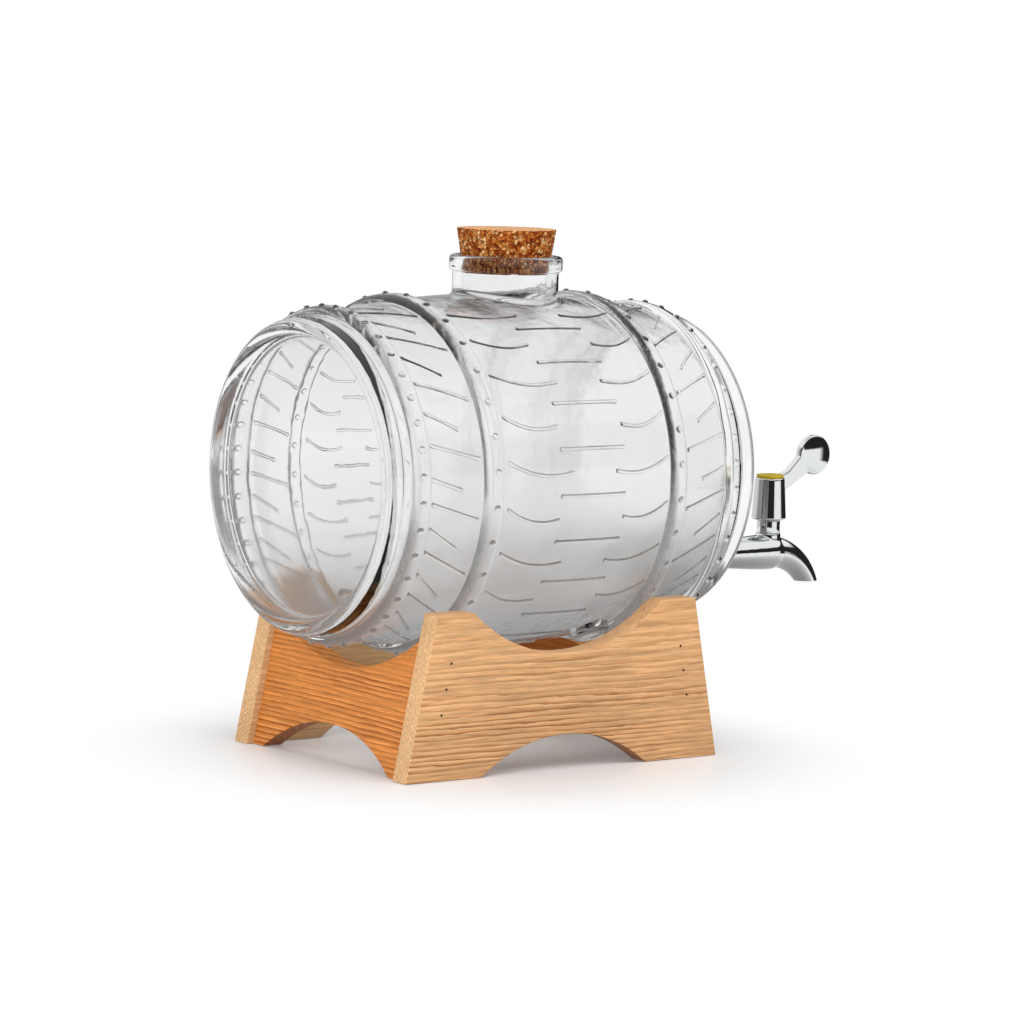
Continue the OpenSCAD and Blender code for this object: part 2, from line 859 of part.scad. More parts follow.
module handle_screw() {
    color("gray")
        translate([shift_x, 0, 0]) {
            bar_z(screw_low, screw_seat, screw_r, screw_r);
            bar_z(screw_seat, screw_seat + screw_head_t, screw_head_r, screw_head_r);
        }
}

module index_cap() {
    color("gold")
        translate([shift_x, 0, 0]) {
            bar_z(sleeve_top - cap_plug, sleeve_top, cap_plug_r, cap_plug_r);
            bar_z(sleeve_top, sleeve_top + cap_t - cap_edge, cap_r, cap_r);
            bar_z(sleeve_top + cap_t - cap_edge, sleeve_top + cap_t, cap_r, cap_r - cap_edge);
        }
}

side_board_left();
side_board_right();
end_board_rear();
end_board_front();
brad_nails();
glass_barrel();
glass_rear_head();
glass_front_head();
glass_neck();
cork_stopper();
tap_body();
outer_washer();
inner_washer();
back_nut();
gland_nut();
valve_plug();
lower_o_ring();
upper_o_ring();
lever_handle();
handle_screw();
index_cap();
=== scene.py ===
import json
import math

import bmesh
import bpy
from mathutils import Matrix, Vector, noise


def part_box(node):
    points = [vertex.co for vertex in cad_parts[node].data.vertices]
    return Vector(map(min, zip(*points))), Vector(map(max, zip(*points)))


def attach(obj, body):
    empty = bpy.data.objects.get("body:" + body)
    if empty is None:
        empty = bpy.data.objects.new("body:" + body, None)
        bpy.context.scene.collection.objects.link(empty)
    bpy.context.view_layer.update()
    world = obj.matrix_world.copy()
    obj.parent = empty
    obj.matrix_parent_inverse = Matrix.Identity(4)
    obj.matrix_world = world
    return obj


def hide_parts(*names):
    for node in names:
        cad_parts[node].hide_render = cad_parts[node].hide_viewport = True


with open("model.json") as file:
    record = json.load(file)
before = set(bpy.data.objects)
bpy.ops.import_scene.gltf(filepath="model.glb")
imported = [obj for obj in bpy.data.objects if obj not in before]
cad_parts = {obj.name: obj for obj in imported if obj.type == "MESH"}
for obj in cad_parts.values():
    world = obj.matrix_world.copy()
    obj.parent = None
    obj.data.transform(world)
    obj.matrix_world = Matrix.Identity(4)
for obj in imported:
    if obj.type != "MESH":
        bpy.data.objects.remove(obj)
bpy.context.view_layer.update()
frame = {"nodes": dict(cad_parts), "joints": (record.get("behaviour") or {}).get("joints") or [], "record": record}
scene = bpy.context.scene

# Places from the frame. Pieces are modelled in millimetres around one of these and then moved there.
openings = {row["name"]: row["box_m"] for row in frame["record"]["physics"]["openings"]}
joints = {row["name"]: row for row in frame["joints"]}
barrelLo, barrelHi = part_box("glass_barrel")
neckLo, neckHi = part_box("glass_neck")
corkLo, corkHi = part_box("cork_stopper")
axisZ = (openings["barrel_cavity"][0][2] + openings["barrel_cavity"][1][2]) / 2
barrelPlace = Vector(((barrelLo.x + barrelHi.x) / 2, 0, axisZ))
standPlace = Vector((barrelPlace.x, 0, 0))
tapPlace = Vector(joints["handle_turn"]["pos_m"])
neckX = ((neckLo.x + neckHi.x) / 2 - barrelPlace.x) * 1000


def linear(code):
    # a written sRGB colour as the linear values that the shaders take
    channels = [int(code[i:i + 2], 16) / 255 for i in (1, 3, 5)]
    return [c / 12.92 if c <= 0.04045 else ((c + 0.055) / 1.055) ** 2.4 for c in channels] + [1]


def perMm(size):
    # the scale of a pattern whose features are this many millimetres across
    return 1000 / size


def addNode(tree, kind, inputs=None, stops=None, **settings):
    # one node with its settings, its linked or constant inputs and the stops of a ramp
    node = tree.nodes.new(kind)
    for key, value in settings.items():
        setattr(node, key, value)
    for key, value in (inputs or {}).items():
        if isinstance(value, bpy.types.NodeSocket):
            tree.links.new(value, node.inputs[key])
        else:
            node.inputs[key].default_value = value
    if stops:
        elements = node.color_ramp.elements
        elements.remove(elements[1])
        elements[0].position, elements[0].color = stops[0]
        for place, colour in stops[1:]:
            elements.new(place).color = colour
    return node


def newMaterial(name):
    material = bpy.data.materials.new(name)
    material.use_nodes = True
    material.node_tree.nodes.clear()
    return material, material.node_tree


def showShader(tree, shader):
    addNode(tree, "ShaderNodeOutputMaterial", {"Surface": shader.outputs[0]})


def objectCoords(tree):
    return addNode(tree, "ShaderNodeTexCoord").outputs["Object"]


def split(tree, vector):
    return addNode(tree, "ShaderNodeSeparateXYZ", {0: vector}).outputs


def mapped(tree, value, fromLow, fromHigh, toLow=0, toHigh=1, kind="LINEAR"):
    # a number moved from one range to another
    ends = {"From Min": fromLow, "From Max": fromHigh, "To Min": toLow, "To Max": toHigh}
    node = addNode(tree, "ShaderNodeMapRange", {"Value": value, **ends}, interpolation_type=kind)
    return node.outputs[0]


def calc(tree, operation, *values):
    return addNode(tree, "ShaderNodeMath", dict(enumerate(values)), operation=operation).outputs[0]


def calcVector(tree, operation, *values):
    # dot products, lengths and distances come out as numbers, the rest as vectors
    node = addNode(tree, "ShaderNodeVectorMath", dict(enumerate(values)), operation=operation)
    return node.outputs["Value" if operation in ("DOT_PRODUCT", "LENGTH", "DISTANCE") else "Vector"]


def blend(tree, share, first, second):
    return addNode(tree, "ShaderNodeMix", {0: share, 6: first, 7: second}, data_type="RGBA").outputs[2]


def mixShaders(tree, share, first, second):
    return addNode(tree, "ShaderNodeMixShader", {0: share, 1: first.outputs[0], 2: second.outputs[0]})


def colours(tree, value, stops):
    # a ramp of written sRGB colours
    stops = [(place, linear(code)) for place, code in stops]
    return addNode(tree, "ShaderNodeValToRGB", {"Fac": value}, stops=stops).outputs["Color"]


def mottle(tree, coords, size, detail, rough=0.5, stretch=None):
    # noise with features of this many millimetres, drawn out along the grain where stretch is given
    if stretch:
        coords = addNode(tree, "ShaderNodeMapping", {"Vector": coords, "Scale": stretch}).outputs[0]
    inputs = {"Vector": coords, "Scale": perMm(size), "Detail": detail, "Roughness": rough}
    return addNode(tree, "ShaderNodeTexNoise", inputs).outputs


def turned(points, rounds, axis, steps):
    # a profile of places along the axis and radii, with some corners rounded, turned about the axis
    bm = bmesh.new()
    along = {"X": Vector((1, 0, 0)), "Y": Vector((0, 1, 0)), "Z": Vector((0, 0, 1))}[axis]
    across = {"X": Vector((0, 0, 1)), "Y": Vector((0, 0, 1)), "Z": Vector((1, 0, 0))}[axis]
    verts = [bm.verts.new(along * place + across * radius) for place, radius in points]
    for pair in zip(verts, verts[1:]):
        bm.edges.new(pair)
    for i, size in rounds.items():
        bmesh.ops.bevel(bm, geom=[verts[i]], offset=size, offset_type="OFFSET", segments=5, profile=0.5,
                        affect="VERTICES", material=-1)
    bmesh.ops.spin(bm, geom=bm.verts[:] + bm.edges[:], cent=(0, 0, 0), axis=along, dvec=(0, 0, 0),
                   angle=2 * math.pi, steps=steps, use_merge=True)
    bmesh.ops.remove_doubles(bm, verts=bm.verts[:], dist=0.0005)
    bmesh.ops.recalc_face_normals(bm, faces=bm.faces[:])
    return bm


def pour(bm, part):
    # adds a finished shape to a mesh that holds others
    mesh = bpy.data.meshes.new("part")
    part.to_mesh(mesh)
    part.free()
    bm.from_mesh(mesh)
    bpy.data.meshes.remove(mesh)


def solid(bm, name):
    mesh = bpy.data.meshes.new(name)
    bmesh.ops.recalc_face_normals(bm, faces=bm.faces[:])
    bm.to_mesh(mesh)
    bm.free()
    obj = bpy.data.objects.new(name, mesh)
    scene.collection.objects.link(obj)
    return obj


def settle(obj):
    # makes the modifiers' result the object's own mesh
    bpy.context.view_layer.update()
    old = obj.data
    made = bpy.data.meshes.new_from_object(obj.evaluated_get(bpy.context.evaluated_depsgraph_get()))
    obj.modifiers.clear()
    obj.data = made
    bpy.data.meshes.remove(old)
    made.name = obj.name


def combine(target, tool, operation):
    change = target.modifiers.new("combine", "BOOLEAN")
    change.operation = operation
    change.solver = "MANIFOLD"
    change.object = tool
    settle(target)
    bpy.data.objects.remove(tool, do_unlink=True)


def cast(obj, voxel, passes):
    # melts pieces that overlap into one skin and softens their corners
    melt = obj.modifiers.new("melt", "REMESH")
    melt.mode = "VOXEL"
    melt.voxel_size = voxel
    soften = obj.modifiers.new("soften", "SMOOTH")
    soften.factor = 0.5
    soften.iterations = passes
    settle(obj)


def dress(obj, place, body, material, nodes, angle):
    # brings a piece from millimetres to its place, and gives it its shading, material and body
    mesh = obj.data
    mesh.transform(Matrix.Translation(place) @ Matrix.Scale(0.001, 4))
    mesh.shade_smooth()
    mesh.set_sharp_from_angle(angle=math.radians(angle))
    mesh.materials.clear()
    mesh.materials.append(material)
    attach(obj, body)
    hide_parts(*nodes)


def arc(half, rise, steps):
    # points of an arc over a chord, from its left end to its right end
    radius = (half * half + rise * rise) / (2 * rise)
    reach = math.asin(half / radius)
    angles = [-reach + 2 * reach * i / steps for i in range(steps + 1)]
    return [(radius * math.sin(a), radius * math.cos(a) - radius + rise) for a in angles]


def slab(outline, thickness, edge):
    # an upright board: its outline in X and Z, extruded along Y, with eased edges
    bm = bmesh.new()
    face = bm.faces.new([bm.verts.new((x, 0, z)) for x, z in outline])
    made = bmesh.ops.extrude_face_region(bm, geom=[face])["geom"]
    moved = [item for item in made if isinstance(item, bmesh.types.BMVert)]
    bmesh.ops.translate(bm, verts=moved, vec=(0, thickness, 0))
    bmesh.ops.recalc_face_normals(bm, faces=bm.faces[:])
    sharp = [item for item in bm.edges if item.calc_face_angle(0) > 0.5]
    bmesh.ops.bevel(bm, geom=sharp, offset=edge, offset_type="OFFSET", segments=3, profile=0.5,
                    affect="EDGES", material=-1, clamp_overlap=True)
    return bm


# The stand: two side boards with straight grain and two leaning end boards with strong grain.
# one entry sets how strongly the painted shade tone covers the faces inside the stand and underneath
pineSettings = {"strayWide": 24, "strayLong": 0.12, "stray": 7, "ringLong": 0.07, "band": 10,
                "bandLong": 0.08, "bandShares": (0.3, 1), "plainFrom": 0.015, "plainTo": 0.06,
                "endGrain": 0.55, "shadeStrength": 0.75, "fibreWide": 0.45, "fibreLong": 0.025,
                "fibreTones": (0.8, 1.14), "blotch": 45, "blotchLong": 0.4,
                "blotchTones": (0.92, 1.06), "streakWide": 1.5, "streakLong": 0.05,
                "streakTones": (0.84, 1.18), "rough": 0.5, "bump": 0.12}


def pine(name, grain, pith, spacing, stops, plainUp, endTone, shadedFacesTone, inner):
    # planed pine: growth rings around a pith line along the grain, uneven in width and depth,
    # with fine fibres, and a painted shade tone on the faces that look into the stand or down
    w = pineSettings
    material, tree = newMaterial(name)
    along = Vector((1, 0, 0)) if grain == "X" else Vector((0, 1, 0))
    coords = objectCoords(tree)

    def stretched(share):
        return [1 - (1 - share) * c for c in along]

    stray = mottle(tree, coords, w["strayWide"], 5, 0.68, stretched(w["strayLong"]))
    push = calcVector(tree, "MULTIPLY_ADD", stray["Color"], [w["stray"] / 1000] * 3, coords)
    pithPlace = addNode(tree, "ShaderNodeMapping", {"Vector": push, "Location": [-c / 1000 for c in pith],
                                                    "Scale": stretched(w["ringLong"])})
    rings = addNode(tree, "ShaderNodeTexWave",
                    {"Vector": pithPlace.outputs[0], "Scale": 2 * math.pi / 20 * perMm(spacing),
                     "Distortion": 1.2, "Detail": 3, "Detail Scale": 1.4, "Detail Roughness": 0.6},
                    wave_type="RINGS", rings_direction=grain, wave_profile="SAW")
    # rings are strong in some bands and faint in others, and fainter towards the top of a side board
    band = mottle(tree, coords, w["band"], 1, 0.5, stretched(w["bandLong"]))
    bandShare = mapped(tree, band["Fac"], 0.35, 0.62, *w["bandShares"])
    upShare = mapped(tree, split(tree, coords)["Z"], w["plainFrom"], w["plainTo"], 1, plainUp)
    ringShare = calc(tree, "MULTIPLY", bandShare, upShare)
    face = blend(tree, ringShare, linear(stops[1][1]), colours(tree, rings.outputs["Fac"], stops))
    # paler end grain, and a tone painted onto the faces that look into the stand or down, where they lie in shade
    normal = addNode(tree, "ShaderNodeNewGeometry").outputs["Normal"]
    endLook = calc(tree, "ABSOLUTE", calcVector(tree, "DOT_PRODUCT", normal, along))
    ended = blend(tree, mapped(tree, endLook, 0.8, 0.92, 0, w["endGrain"]), face, linear(endTone))
    insideShadeShare = mapped(tree, calcVector(tree, "DOT_PRODUCT", normal, inner), 0.6, 0.9, 0, w["shadeStrength"])
    undersideShadeShare = mapped(tree, split(tree, normal)["Z"], -0.7, -0.5, w["shadeStrength"], 0)
    sided = blend(tree, calc(tree, "MAXIMUM", insideShadeShare, undersideShadeShare), ended, linear(shadedFacesTone))
    # fine fibres, wide blotches, and darker and lighter streaks along the grain
    fibres = mottle(tree, coords, w["fibreWide"], 3, 0.6, stretched(w["fibreLong"]))
    blotches = mottle(tree, coords, w["blotch"], 2, 0.5, stretched(w["blotchLong"]))
    streaks = mottle(tree, coords, w["streakWide"], 4, 0.7, stretched(w["streakLong"]))
    tone = calc(tree, "MULTIPLY", mapped(tree, fibres["Fac"], 0.3, 0.7, *w["fibreTones"]),
                mapped(tree, blotches["Fac"], 0.3, 0.7, *w["blotchTones"]))
    tone = calc(tree, "MULTIPLY", tone, mapped(tree, streaks["Fac"], 0.36, 0.62, *w["streakTones"]))
    shown = addNode(tree, "ShaderNodeHueSaturation", {"Color": sided, "Value": tone})
    relief = addNode(tree, "ShaderNodeBump",
                     {"Height": fibres["Fac"], "Strength": w["bump"], "Distance": 0.0003})
    showShader(tree, addNode(tree, "ShaderNodeBsdfPrincipled",
                             {"Base Color": shown.outputs["Color"], "Roughness": w["rough"],
                              "Normal": relief.outputs["Normal"], "Specular IOR Level": 0.35}))
    return material


standSettings = {"height": 78, "foot": 93, "top": 77, "width": 71.5, "thick": 11, "edge": 0.5,
                 "endEdge": 0.4, "saddleHalf": 56, "saddleDrop": 22, "archHalf": 49, "archRise": 17,
                 "arcSteps": 30, "inset": 3.5, "endSaddleDrop": 22, "endArchHalf": 52,
                 "endArchRise": 18, "endGap": 5.9, "seatGap": 0.3, "nailHeights": (31, 43, 55),
                 "nailBack": 1.6, "nailHole": 0.67, "nailSink": 0.3}
s = standSettings
lean = (s["foot"] - s["top"]) / s["height"]
endThick = s["thick"] * math.sqrt(1 + lean * lean)
sideStops = [(0, "#eebd8d"), (0.4, "#e0ae7a"), (0.7, "#cd8f58"), (0.9, "#95501d"), (1, "#e2b07c")]
endStops = [(0, "#f0a156"), (0.4, "#e18e43"), (0.7, "#c9742e"), (0.9, "#92450e"), (1, "#e7964c")]
# how plain the top is, the tone of the end grain, and the tone painted on the faces that look into the stand or
# down: painted shade on the right side and end boards, and on the left board a pale tone painted to lighten its
# shaded inside
rightTones = (0.5, "#eec490", "#98571f")
leftTones = (0.5, "#eec490", "#e2b888")
endTones = (0.9, "#d98f45", "#9a5420")

# The glass: pressed in one piece, with hoops, rivets, stave marks, a neck and four hollow feet.
glassSettings = {"halfLength": 110, "midRadius": 85, "endRadius": 73.5, "wall": 4, "steps": 160,
                 "hoops": ((50, 60), (88, 97)), "hoopRise": 3.5, "hoopEdge": 0.5, "hoopRound": 2.8,
                 "hoopFoot": 0.6, "rimStart": 104, "rimRadius": 75, "rimRound": 3, "rimFace": 68,
                 "headEdge": 66, "headRound": 2, "headX": 104, "cavityX": 99, "innerRound": 2,
                 "wobble": 0.4, "wobbleSize": 17, "neckRadius": 25.75, "neckFlare": 3, "lipRadius": 27.5,
                 "lipHeight": 7.5, "lipRound": 2, "lipTop": 103.4, "bore": 20.86, "taperLow": 94.1,
                 "mouth": 22.35, "tapDrop": 48.9, "tapHole": 8.2, "footX": 39.5, "footAngle": 26,
                 "footRadius": 9.5, "footOut": 5, "footRound": 2.4, "dimple": 5.6, "dimpleDeep": 2.6,
                 "neckSteps": 128, "rivetRadius": 2, "rivetRise": 1.1, "ribHalf": 1.05, "ribRise": 0.8,
                 "knobLong": 3.2}
# rivets: the place along the barrel, the count, the first angle and the step
rivetRows = ((54.5, 16, -84.5, 11.25), (93, 20, -85, 9))
# stave marks: their ends along the barrel, the angles, the rise, the sag and the swollen ends
panelMarks = {"inner": (61.5, 71), "outer": 87, "count": 18, "first": -90, "step": 10, "rise": 4,
              "fan": 9, "knob": 0.4}
bellyMarks = {"rearInner": (10, 16.5), "rearOuter": 47, "frontInner": (15, 20.5), "frontOuter": 49,
              "rows": (0, 3, 4, 5, 6, 7, 8, 9, 10), "first": -85.5, "step": 15, "rise": 4,
              "power": 2.2, "sag": 1.4, "knob": 0.25}
middleMarks = {"low": -17.5, "high": 21.5, "count": 10, "first": -78, "step": 15, "knob": 0.25}
g = glassSettings
drop = g["midRadius"] - g["endRadius"]
bend = (g["halfLength"] ** 2 + drop ** 2) / (2 * drop)  # the radius of the staves' bend


def staveRadius(x):
    return g["midRadius"] - bend + math.sqrt(bend * bend - x * x)


def barrelProfile(grow):
    # half of the barrel's outline from the belly to the middle of a head, and the corners to round
    points, rounds = [], {}
    start = 0
    for low, high in g["hoops"]:
        count = max(2, round((low - start) / 6))
        places = [start + (low - start) * i / count for i in range(count + 1)]
        points += [(x, staveRadius(x) + grow) for x in places]
        rounds[len(points) - 1] = g["hoopFoot"]
        for x in (low + g["hoopEdge"], high - g["hoopEdge"]):
            rounds[len(points)] = g["hoopRound"]
            points.append((x, staveRadius(x) + g["hoopRise"] + grow))
        start = high
    rounds[len(points)] = g["hoopFoot"]
    points += [(start, staveRadius(start) + grow), (g["rimStart"], staveRadius(g["rimStart"]) + grow)]
    rounds[len(points)] = g["rimRound"]
    points.append((g["halfLength"], g["rimRadius"] + grow))
    if grow:
        points.append((g["halfLength"], 0))
    else:
        rounds[len(points)] = g["rimRound"]
        points.append((g["halfLength"], g["rimFace"]))
        rounds[len(points)] = g["headRound"]
        points += [(g["headX"], g["headEdge"]), (g["headX"], 0)]
    return points, rounds


def bothHalves(points, rounds):
    # a half outline and its mirror image as one outline from head to head
    last = len(points) - 1
    whole = [(-x, r) for x, r in reversed(points)] + points[1:]
    corners = {last - i: size for i, size in rounds.items()}
    corners.update({last + i: size for i, size in rounds.items()})
    return whole, corners


def onBarrel(x, angle, radius, side):
    # a place on the barrel from its angle above the middle line, on the left or right side
    return Vector((x, side * radius * math.cos(angle), radius * math.sin(angle)))


def addRib(bm, low, high, angle, rise, power, sag, knob, side):
    # a raised mark along a stave, hanging in its middle and rising to its far end
    size, length = g["ribHalf"], abs(high - low)
    rib = bmesh.new()
    bmesh.ops.create_uvsphere(rib, u_segments=10, v_segments=5, radius=size,
                              matrix=Matrix.Rotation(math.pi / 2, 4, "Y"))
    for v in rib.verts:
        v.co.x += (length - 2 * size if v.co.x > 0 else 0) + size
    longEdges = [e for e in rib.edges if e.calc_length() > 2 * size]
    bmesh.ops.subdivide_edges(rib, edges=longEdges, cuts=7, use_grid_fill=True)
    toward = 1 if high > low else -1
    for v in rib.verts:
        share = v.co.x / length
        swell = 1 + knob * max(0, 1 - min(v.co.x, length - v.co.x) / (g["knobLong"] * size))
        x = low + toward * v.co.x
        radius = staveRadius(x) + (v.co.z - size + g["ribRise"]) * swell
        lift = rise * share ** power - sag * math.sin(math.pi * share)
        v.co = onBarrel(x, math.radians(angle + lift) + v.co.y * swell / radius, radius, side)
    pour(bm, rib)


def addRivet(bm, x, angle, side):
    radius = staveRadius(x) + g["hoopRise"] - g["rivetRadius"] + g["rivetRise"]
    place = onBarrel(x, math.radians(angle), radius, side)
    lay = Matrix.Translation(place) @ Matrix.Rotation(side * math.radians(angle - 90), 4, "X")
    bmesh.ops.create_uvsphere(bm, u_segments=12, v_segments=8, radius=g["rivetRadius"], matrix=lay)


def buildGlass(material):
    body = solid(turned(*bothHalves(*barrelProfile(0)), "X", g["steps"]), "glassBarrel")

    # the neck starts inside the room and follows the belly at its flare
    neckRoot, sink, flareSteps = 60, 0.2, 7
    flare = [math.radians(90 * i / flareSteps) for i in range(flareSteps + 1)]
    points = [(neckRoot, 0), (neckRoot, g["neckRadius"] + g["neckFlare"])]
    points += [(g["midRadius"] - sink + g["neckFlare"] * (1 - math.cos(a)),
                g["neckRadius"] + g["neckFlare"] * (1 - math.sin(a))) for a in flare]
    lipLow = g["lipTop"] - g["lipHeight"]
    corner = len(points)
    points += [(lipLow, g["neckRadius"]), (lipLow, g["lipRadius"]), (g["lipTop"], g["lipRadius"]),
               (g["lipTop"], 0)]
    rounds = {corner: 0.5, corner + 1: g["lipRound"], corner + 2: g["lipRound"]}
    bm = turned(points, rounds, "Z", g["neckSteps"])
    for v in bm.verts:
        v.co.x += neckX
        if v.co.z < g["midRadius"] + g["neckFlare"]:
            v.co.z -= g["midRadius"] - math.sqrt(staveRadius(v.co.x) ** 2 - v.co.y ** 2)
    combine(body, solid(bm, "neck"), "UNION")

    bm = bmesh.new()
    p, b, m = panelMarks, bellyMarks, middleMarks
    for side in (-1, 1):
        for end in (-1, 1):
            for x, count, first, step in rivetRows:
                for k in range(count):
                    addRivet(bm, end * x, first + step * k, side)
            for k in range(p["count"]):
                angle = p["first"] + p["step"] * k
                slant = p["rise"] + p["fan"] * abs(math.sin(math.radians(angle)))
                addRib(bm, end * p["inner"][k % 2], end * p["outer"], angle, slant, 1, 0, p["knob"], side)
            which = "rear" if end < 0 else "front"
            for k in b["rows"]:
                addRib(bm, end * b[which + "Inner"][k % 2], end * b[which + "Outer"],
                       b["first"] + b["step"] * k, b["rise"], b["power"], b["sag"], b["knob"], side)
        for k in range(m["count"]):
            addRib(bm, m["low"], m["high"], m["first"] + m["step"] * k, 0, 1, 0, m["knob"], side)
    combine(body, solid(bm, "relief"), "UNION")

    footEnd = staveRadius(g["footX"]) + g["footOut"]
    footRoot = -70
    footPlaces = [Matrix.Translation((sx * g["footX"], 0, 0))
                  @ Matrix.Rotation(sy * math.radians(g["footAngle"]), 4, "X")
                  for sx in (-1, 1) for sy in (-1, 1)]
    for place in footPlaces:
        points = [(-footEnd, 0), (-footEnd, g["footRadius"]), (footRoot, g["footRadius"]), (footRoot, 0)]
        bm = turned(points, {1: g["footRound"]}, "Z", 48)
        bm.transform(place)
        combine(body, solid(bm, "foot"), "UNION")

    # the room inside has a slightly uneven wall, as pressed glass does
    roomSteps, roomSides = 28, 144
    places = [g["cavityX"] * i / roomSteps for i in range(roomSteps + 1)]
    points = [(x, staveRadius(x) - g["wall"]) for x in places] + [(g["cavityX"], 0)]
    bm = turned(*bothHalves(points, {roomSteps: g["innerRound"]}), "X", roomSides)
    for v in bm.verts:
        if abs(v.co.x) < g["cavityX"] - 1:
            out = Vector((0, v.co.y, v.co.z)).normalized()
            v.co += out * g["wobble"] * noise.noise(v.co / g["wobbleSize"])
    combine(body, solid(bm, "room"), "DIFFERENCE")

    # the bore, with a taper for the cork and an eased mouth
    boreLow, above, lipTop = 50, g["lipTop"] + 2, g["lipTop"]
    points = [(boreLow, 0), (boreLow, g["bore"]), (g["taperLow"], g["bore"]),
              (lipTop - 0.7, g["mouth"] - 0.1), (lipTop + 0.3, g["mouth"] + 1), (above, g["mouth"] + 1),
              (above, 0)]
    bm = turned(points, {}, "Z", g["neckSteps"])
    bmesh.ops.translate(bm, verts=bm.verts[:], vec=(neckX, 0, 0))
    combine(body, solid(bm, "bore"), "DIFFERENCE")

    low, top = -footEnd - 2, g["dimpleDeep"] - footEnd
    for place in footPlaces:
        bm = turned([(low, 0), (low, g["dimple"] + 1), (top, g["dimple"]), (top, 0)], {2: 2}, "Z", 40)
        bm.transform(place)
        combine(body, solid(bm, "dimple"), "DIFFERENCE")
    holeLow, holeHigh = 90, 120
    points = [(holeLow, 0), (holeLow, g["tapHole"]), (holeHigh, g["tapHole"]), (holeHigh, 0)]
    bm = turned(points, {}, "X", 48)
    bmesh.ops.translate(bm, verts=bm.verts[:], vec=(0, 0, -g["tapDrop"]))
    combine(body, solid(bm, "hole"), "DIFFERENCE")
    dress(body, barrelPlace, "barrel", material,
          ("glass_barrel", "glass_rear_head", "glass_front_head", "glass_neck"), 32)


glassLook = {"stavesEnd": (0.093, 0.098), "neckFrom": (0.086, 0.09), "waveSize": 16, "waves": (0.05, 0.3),
             "clear": 0.01, "hazeLow": -0.06, "hazeHigh": 0.02, "hazes": (0.6, 0.18)}


def glassMaterial():
    # pressed soda glass: clear, with a painted grey shade edge on in place of dark reflections, cloudy low on the
    # staves' inner wall, open to the lamps
    look = glassLook
    material, tree = newMaterial("pressed soda glass")
    # painted shade: the colour greys as the surface turns edge on, standing in for reflected dark surroundings
    facing = addNode(tree, "ShaderNodeLayerWeight", {"Blend": 0.5})
    edgeShadeTint = colours(tree, facing.outputs["Facing"], [(0, "#fdfdfd"), (0.65, "#f6f7f8"), (1, "#a6abad")])
    coords = objectCoords(tree)
    local = calcVector(tree, "SUBTRACT", coords, barrelPlace)
    parts = split(tree, local)
    # the staves' inner wall: under the wall's middle, with the bend taken out, and short of the heads
    radius = calcVector(tree, "LENGTH", calcVector(tree, "MULTIPLY", local, (0, 1, 1)))
    belly = calc(tree, "MULTIPLY_ADD", calc(tree, "POWER", parts["X"], 2), 500 / bend, radius)
    middle = (g["midRadius"] - g["wall"] / 2) / 1000
    inside = mapped(tree, belly, middle - 0.0005, middle + 0.0005, 1, 0)
    staves = mapped(tree, calc(tree, "ABSOLUTE", parts["X"]), *look["stavesEnd"], 1, 0)
    cloudy = calc(tree, "MULTIPLY", inside, staves)
    neck = mapped(tree, parts["Z"], *look["neckFrom"])
    depth = mapped(tree, calc(tree, "MAXIMUM", cloudy, neck), 0, 1, *look["waves"])
    waves = mottle(tree, coords, look["waveSize"], 2)
    relief = addNode(tree, "ShaderNodeBump",
                     {"Height": waves["Fac"], "Strength": depth, "Distance": 0.002})
    lowHaze = mapped(tree, parts["Z"], look["hazeLow"], look["hazeHigh"], *look["hazes"], "SMOOTHSTEP")
    haze = mapped(tree, cloudy, 0, 1, look["clear"], lowHaze)
    glass = addNode(tree, "ShaderNodeBsdfPrincipled",
                    {"Base Color": edgeShadeTint, "Roughness": haze, "IOR": 1.5, "Transmission Weight": 1,
                     "Normal": relief.outputs["Normal"]})
    clear = addNode(tree, "ShaderNodeBsdfTransparent", {"Color": linear("#fafbfb")})
    path = addNode(tree, "ShaderNodeLightPath").outputs
    showShader(tree, mixShaders(tree, path["Is Shadow Ray"], glass, clear))
    return material


def sideBoard(name, side, material):
    lower = arc(s["archHalf"], s["archRise"], s["arcSteps"])
    upper = [(-x, s["height"] - z) for x, z in arc(s["saddleHalf"], s["saddleDrop"], s["arcSteps"])]
    outline = [(-s["foot"], 0)] + lower + [(s["foot"], 0)]
    outline += [(s["top"], s["height"])] + upper + [(-s["top"], s["height"])]
    bm = slab(outline, s["thick"], s["edge"])
    bmesh.ops.translate(bm, verts=bm.verts[:], vec=(0, s["width"] - s["thick"], 0))
    if side < 0:
        bmesh.ops.scale(bm, verts=bm.verts[:], vec=(1, -1, 1))
    board = solid(bm, name)
    bm = turned(*bothHalves(*barrelProfile(s["seatGap"])), "X", 128)
    bmesh.ops.translate(bm, verts=bm.verts[:], vec=(0, 0, axisZ * 1000))
    combine(board, solid(bm, "seat"), "DIFFERENCE")
    bm = bmesh.new()
    for sx in (-1, 1):
        for z in s["nailHeights"]:
            x = sx * (s["foot"] - lean * z - s["inset"] - endThick + s["nailBack"])
            place = Matrix.Translation((x, side * (s["width"] + 1), z))
            place = place @ Matrix.Rotation(math.pi / 2, 4, "X")
            bmesh.ops.create_cone(bm, cap_ends=True, segments=20, radius1=s["nailHole"],
                                  radius2=s["nailHole"], depth=2 * (s["nailSink"] + 1), matrix=place)
    combine(board, solid(bm, "nailHoles"), "DIFFERENCE")
    node = "side_board_left" if side > 0 else "side_board_right"
    dress(board, standPlace, "stand", material, (node,), 34)


